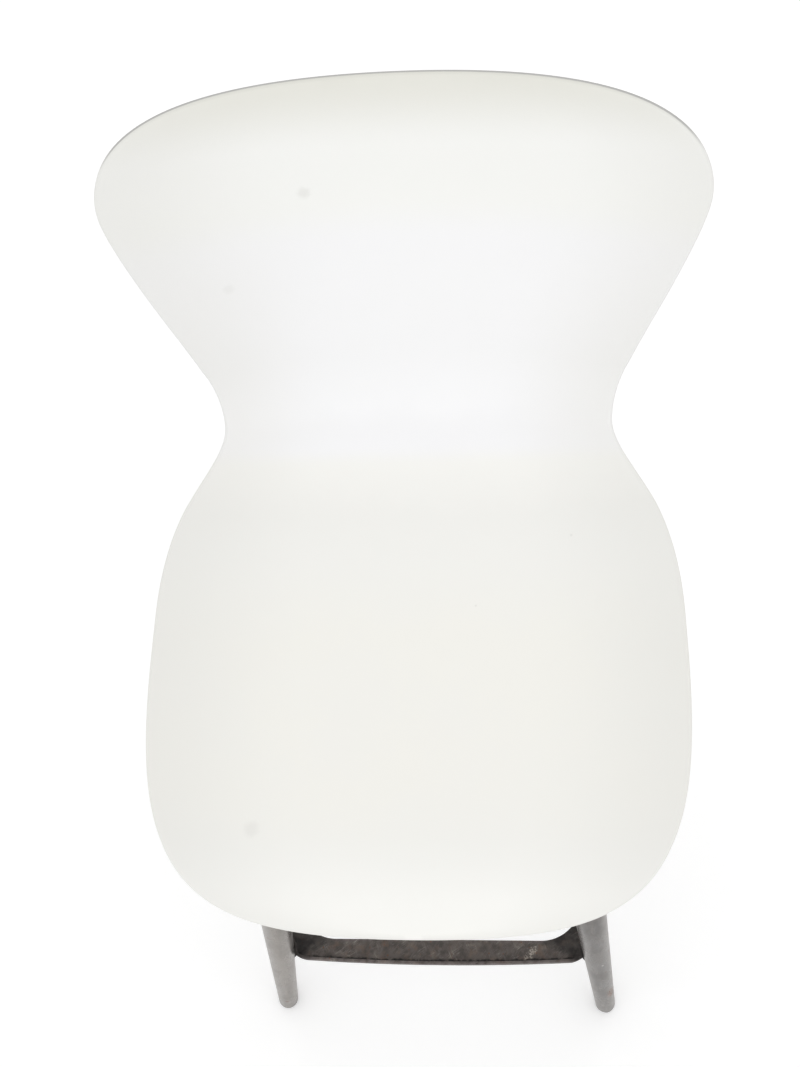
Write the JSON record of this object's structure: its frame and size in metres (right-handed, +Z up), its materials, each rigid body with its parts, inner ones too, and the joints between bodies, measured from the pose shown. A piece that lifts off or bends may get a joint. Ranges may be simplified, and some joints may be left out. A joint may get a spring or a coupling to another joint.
{
  "type": "bar stool",
  "caption": "Bar stool with a one-piece moulded hourglass shell, splayed tapered tube legs and a ring footrest.",
  "frame": {"origin": "on the floor, at the centre of the stool's bounding box seen from above", "axes": "+X to the right seen from the front, +Y from the seat's front edge to the back, +Z up"},
  "size_m": [0.4922, 0.582, 1.1137],
  "materials": {
    "shell_white": "satin white moulded plastic with a very fine grain",
    "leg_gunmetal": "waxed gunmetal steel with soft mottling and small rust specks",
    "footrest_metal": "dark waxed steel with scuffs and rubbed edges",
    "frame_black": "satin black powder coat",
    "zinc_plated": "bright zinc plating",
    "brass": "plain turned brass",
    "rubber_black": "matt black rubber",
    "glide_nylon": "matt dark nylon"
  },
  "bodies": {
    "root": {"seat_shell": "shell_white", "shock_mounts": "rubber_black", "mount_inserts": "brass", "shell_screws": "zinc_plated", "shell_washers": "zinc_plated", "seat_frame": "frame_black", "leg_front_left": "leg_gunmetal", "leg_front_right": "leg_gunmetal", "leg_rear_left": "leg_gunmetal", "leg_rear_right": "leg_gunmetal", "leg_bushes": "zinc_plated", "leg_bolts": "zinc_plated", "leg_lock_washers": "zinc_plated", "footrest_ring": "footrest_metal", "footrest_saddles": "rubber_black", "footrest_screws": "zinc_plated", "footrest_washers": "zinc_plated", "footrest_rivet_nuts": "zinc_plated", "glide_front_left": "glide_nylon", "glide_front_right": "glide_nylon", "glide_rear_left": "glide_nylon", "glide_rear_right": "glide_nylon"}
  },
  "joints": []
}
